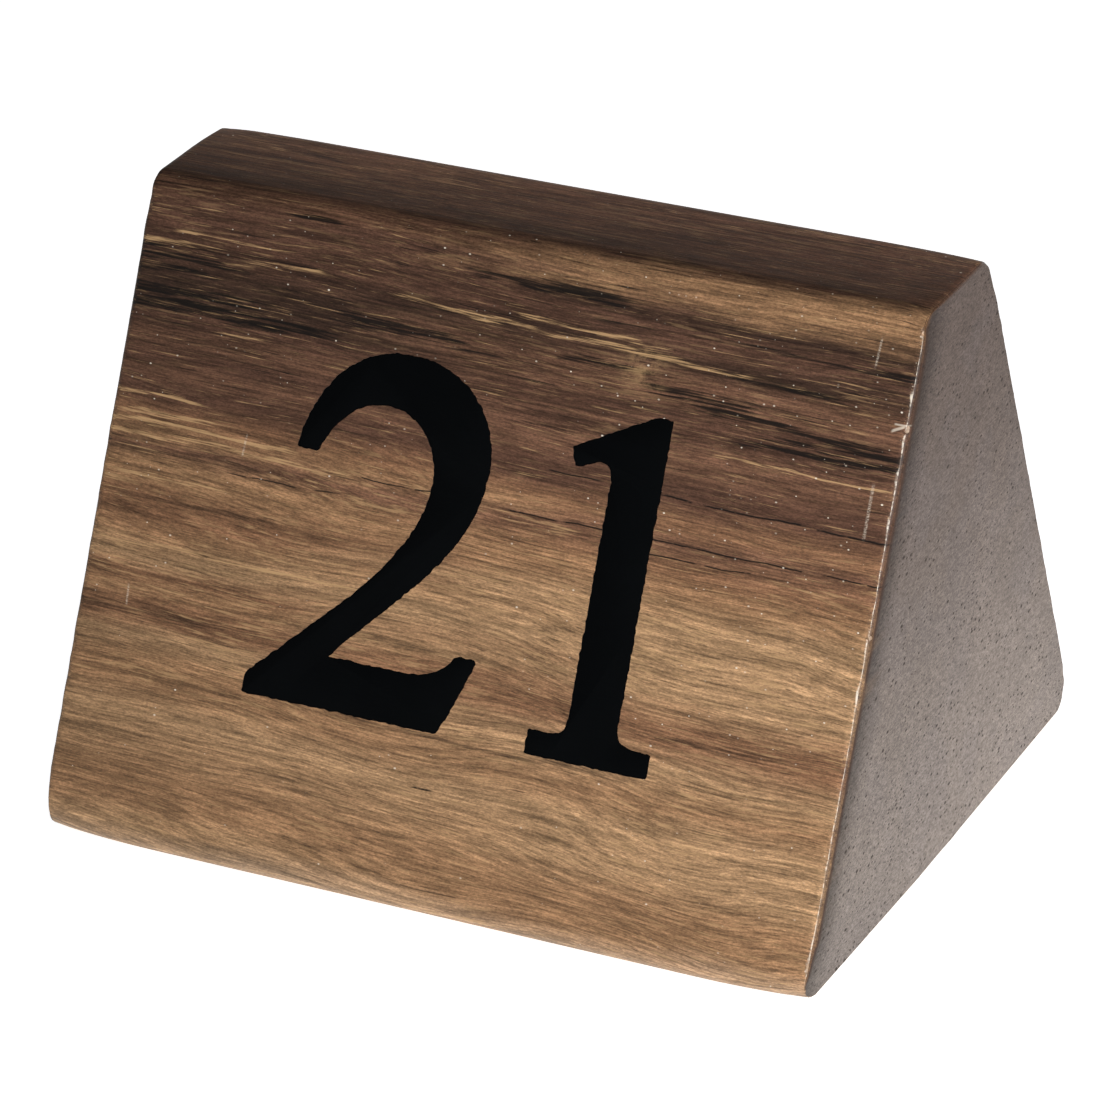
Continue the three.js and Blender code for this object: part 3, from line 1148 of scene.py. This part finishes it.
class TABLENUMBER_OT_block(bpy.types.Operator):
    """Models the hardwood block and cuts its numerals"""

    bl_idname = "table_number.block"
    bl_label = "Hardwood block"

    def execute(self, context):
        sizes = context.scene.table_number_block
        cuts = context.scene.table_number_numerals
        tones = context.scene.table_number_finishes
        section = Section(sizes)
        fresh = plain_wood_material("fresh_wood", tones.fresh, 0.6)
        scorched = plain_wood_material("pocket_wall", tones.scorched, 0.8)
        hardwood = hardwood_material(tones, sizes, section)

        deselect_all()
        block = shaped_block(sizes, section)
        block.data.materials.append(hardwood)
        soften_ends(block, sizes, section)
        wear_arrises(block, sizes)
        for side, end, up, radius in NICKS:
            cut_with(block, nick_cutter(sizes, section, fresh, side, end, up, radius))
        for node in NUMERALS:
            cut_with(block, numeral_cutter(node, section, cuts, scorched))
        block.vertex_groups.clear()
        smooth_by_angle(block, 35)
        finish_piece(block, "hardwood_block", "wood_block")
        return {"FINISHED"}


class TABLENUMBER_OT_numerals(bpy.types.Operator):
    """Fills the numerals with black paint"""

    bl_idname = "table_number.numerals"
    bl_label = "Painted numerals"

    def execute(self, context):
        sizes = context.scene.table_number_numerals
        section = Section(context.scene.table_number_block)
        paint = paint_material(context.scene.table_number_finishes)
        for node, name in NUMERALS.items():
            piece = numeral_paint(node, section, sizes)
            piece.data.materials.append(paint)
            finish_piece(piece, name, node)
        return {"FINISHED"}


class TABLENUMBER_PT_panel(bpy.types.Panel):
    """Lists the sizes, the finishes and the steps that build the block"""

    bl_idname = "TABLENUMBER_PT_panel"
    bl_label = "Table number block"
    bl_space_type = "VIEW_3D"
    bl_region_type = "UI"
    bl_category = "Table number"

    def draw(self, context):
        for step in (TABLENUMBER_OT_stage, TABLENUMBER_OT_block, TABLENUMBER_OT_numerals):
            self.layout.operator(step.bl_idname)
        for setting in SETTINGS:
            group = getattr(context.scene, setting)
            box = self.layout.box()
            for name in group.__annotations__:
                box.prop(group, name)


SETTINGS = {
    "table_number_block": BlockSizes,
    "table_number_numerals": NumeralSizes,
    "table_number_finishes": Finishes,
    "table_number_stage": StageSettings,
}
CLASSES = (
    *SETTINGS.values(), TABLENUMBER_OT_stage, TABLENUMBER_OT_block, TABLENUMBER_OT_numerals,
    TABLENUMBER_PT_panel,
)


def register():
    """Registers the classes and gives the scene its settings."""
    for made in CLASSES:
        bpy.utils.register_class(made)
    for name, kind in SETTINGS.items():
        setattr(bpy.types.Scene, name, bpy.props.PointerProperty(type=kind))


def unregister():
    """Takes the settings and the classes away again."""
    for name in SETTINGS:
        delattr(bpy.types.Scene, name)
    for made in reversed(CLASSES):
        bpy.utils.unregister_class(made)


def main():
    """Builds everything."""
    register()
    bpy.ops.table_number.stage()
    bpy.ops.table_number.block()
    bpy.ops.table_number.numerals()


if __name__ == "__main__":
    main()
